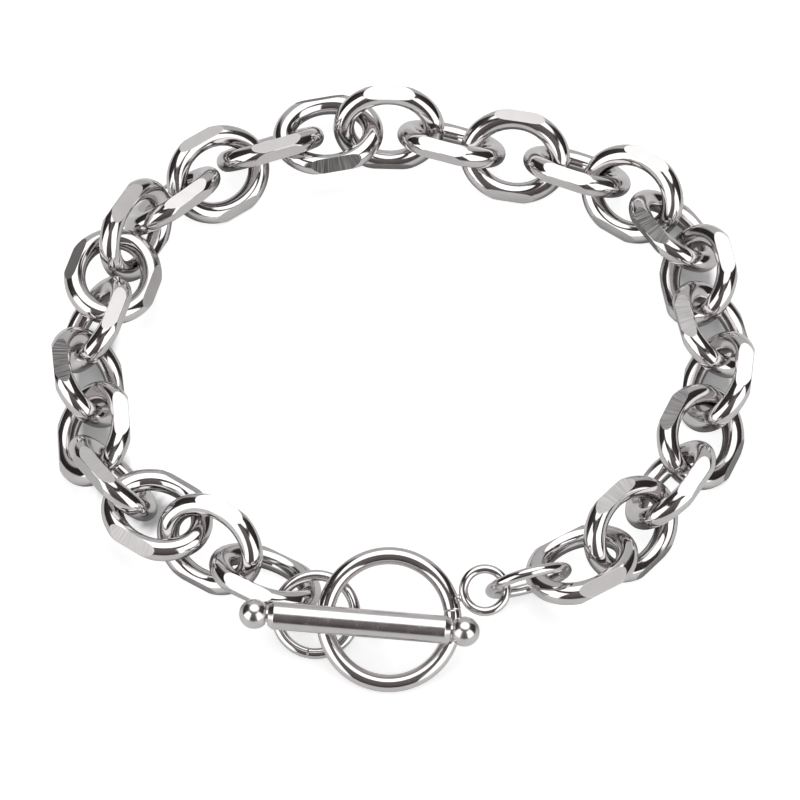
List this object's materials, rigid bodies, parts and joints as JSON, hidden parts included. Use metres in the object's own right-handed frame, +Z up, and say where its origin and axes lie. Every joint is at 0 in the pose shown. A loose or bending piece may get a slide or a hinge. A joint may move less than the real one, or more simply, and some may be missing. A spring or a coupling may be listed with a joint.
{
  "type": "link bracelet",
  "caption": "Chunky oval-link chain bracelet with ground flats on its links, closed by a ring-and-bar toggle clasp on jump rings, lying in a loop.",
  "frame": {"origin": "centre of the loop's outline, on the table it lies on", "axes": "+Z up from the table, -Y towards the clasp, +X from the bar's side of the clasp to the ring's side"},
  "size_m": [0.0745, 0.0746, 0.0097],
  "materials": {
    "link_steel": "polished stainless steel with finely ground flats",
    "clasp_steel": "polished stainless steel"
  },
  "bodies": {
    "root": {"link_01": "link_steel", "link_02": "link_steel", "link_03": "link_steel", "link_04": "link_steel", "link_05": "link_steel", "link_06": "link_steel", "link_07": "link_steel", "link_08": "link_steel", "link_09": "link_steel", "link_10": "link_steel", "link_11": "link_steel", "link_12": "link_steel", "link_13": "link_steel", "link_14": "link_steel", "link_15": "link_steel", "link_16": "link_steel", "link_17": "link_steel", "link_18": "link_steel", "link_19": "link_steel", "link_20": "link_steel", "link_21": "link_steel", "link_22": "link_steel", "link_23": "link_steel", "link_24": "link_steel", "link_25": "link_steel", "link_26": "link_steel", "jump_ring_left": "clasp_steel", "jump_ring_right": "clasp_steel", "toggle_ring": "clasp_steel", "toggle_bar": "clasp_steel"}
  },
  "joints": []
}
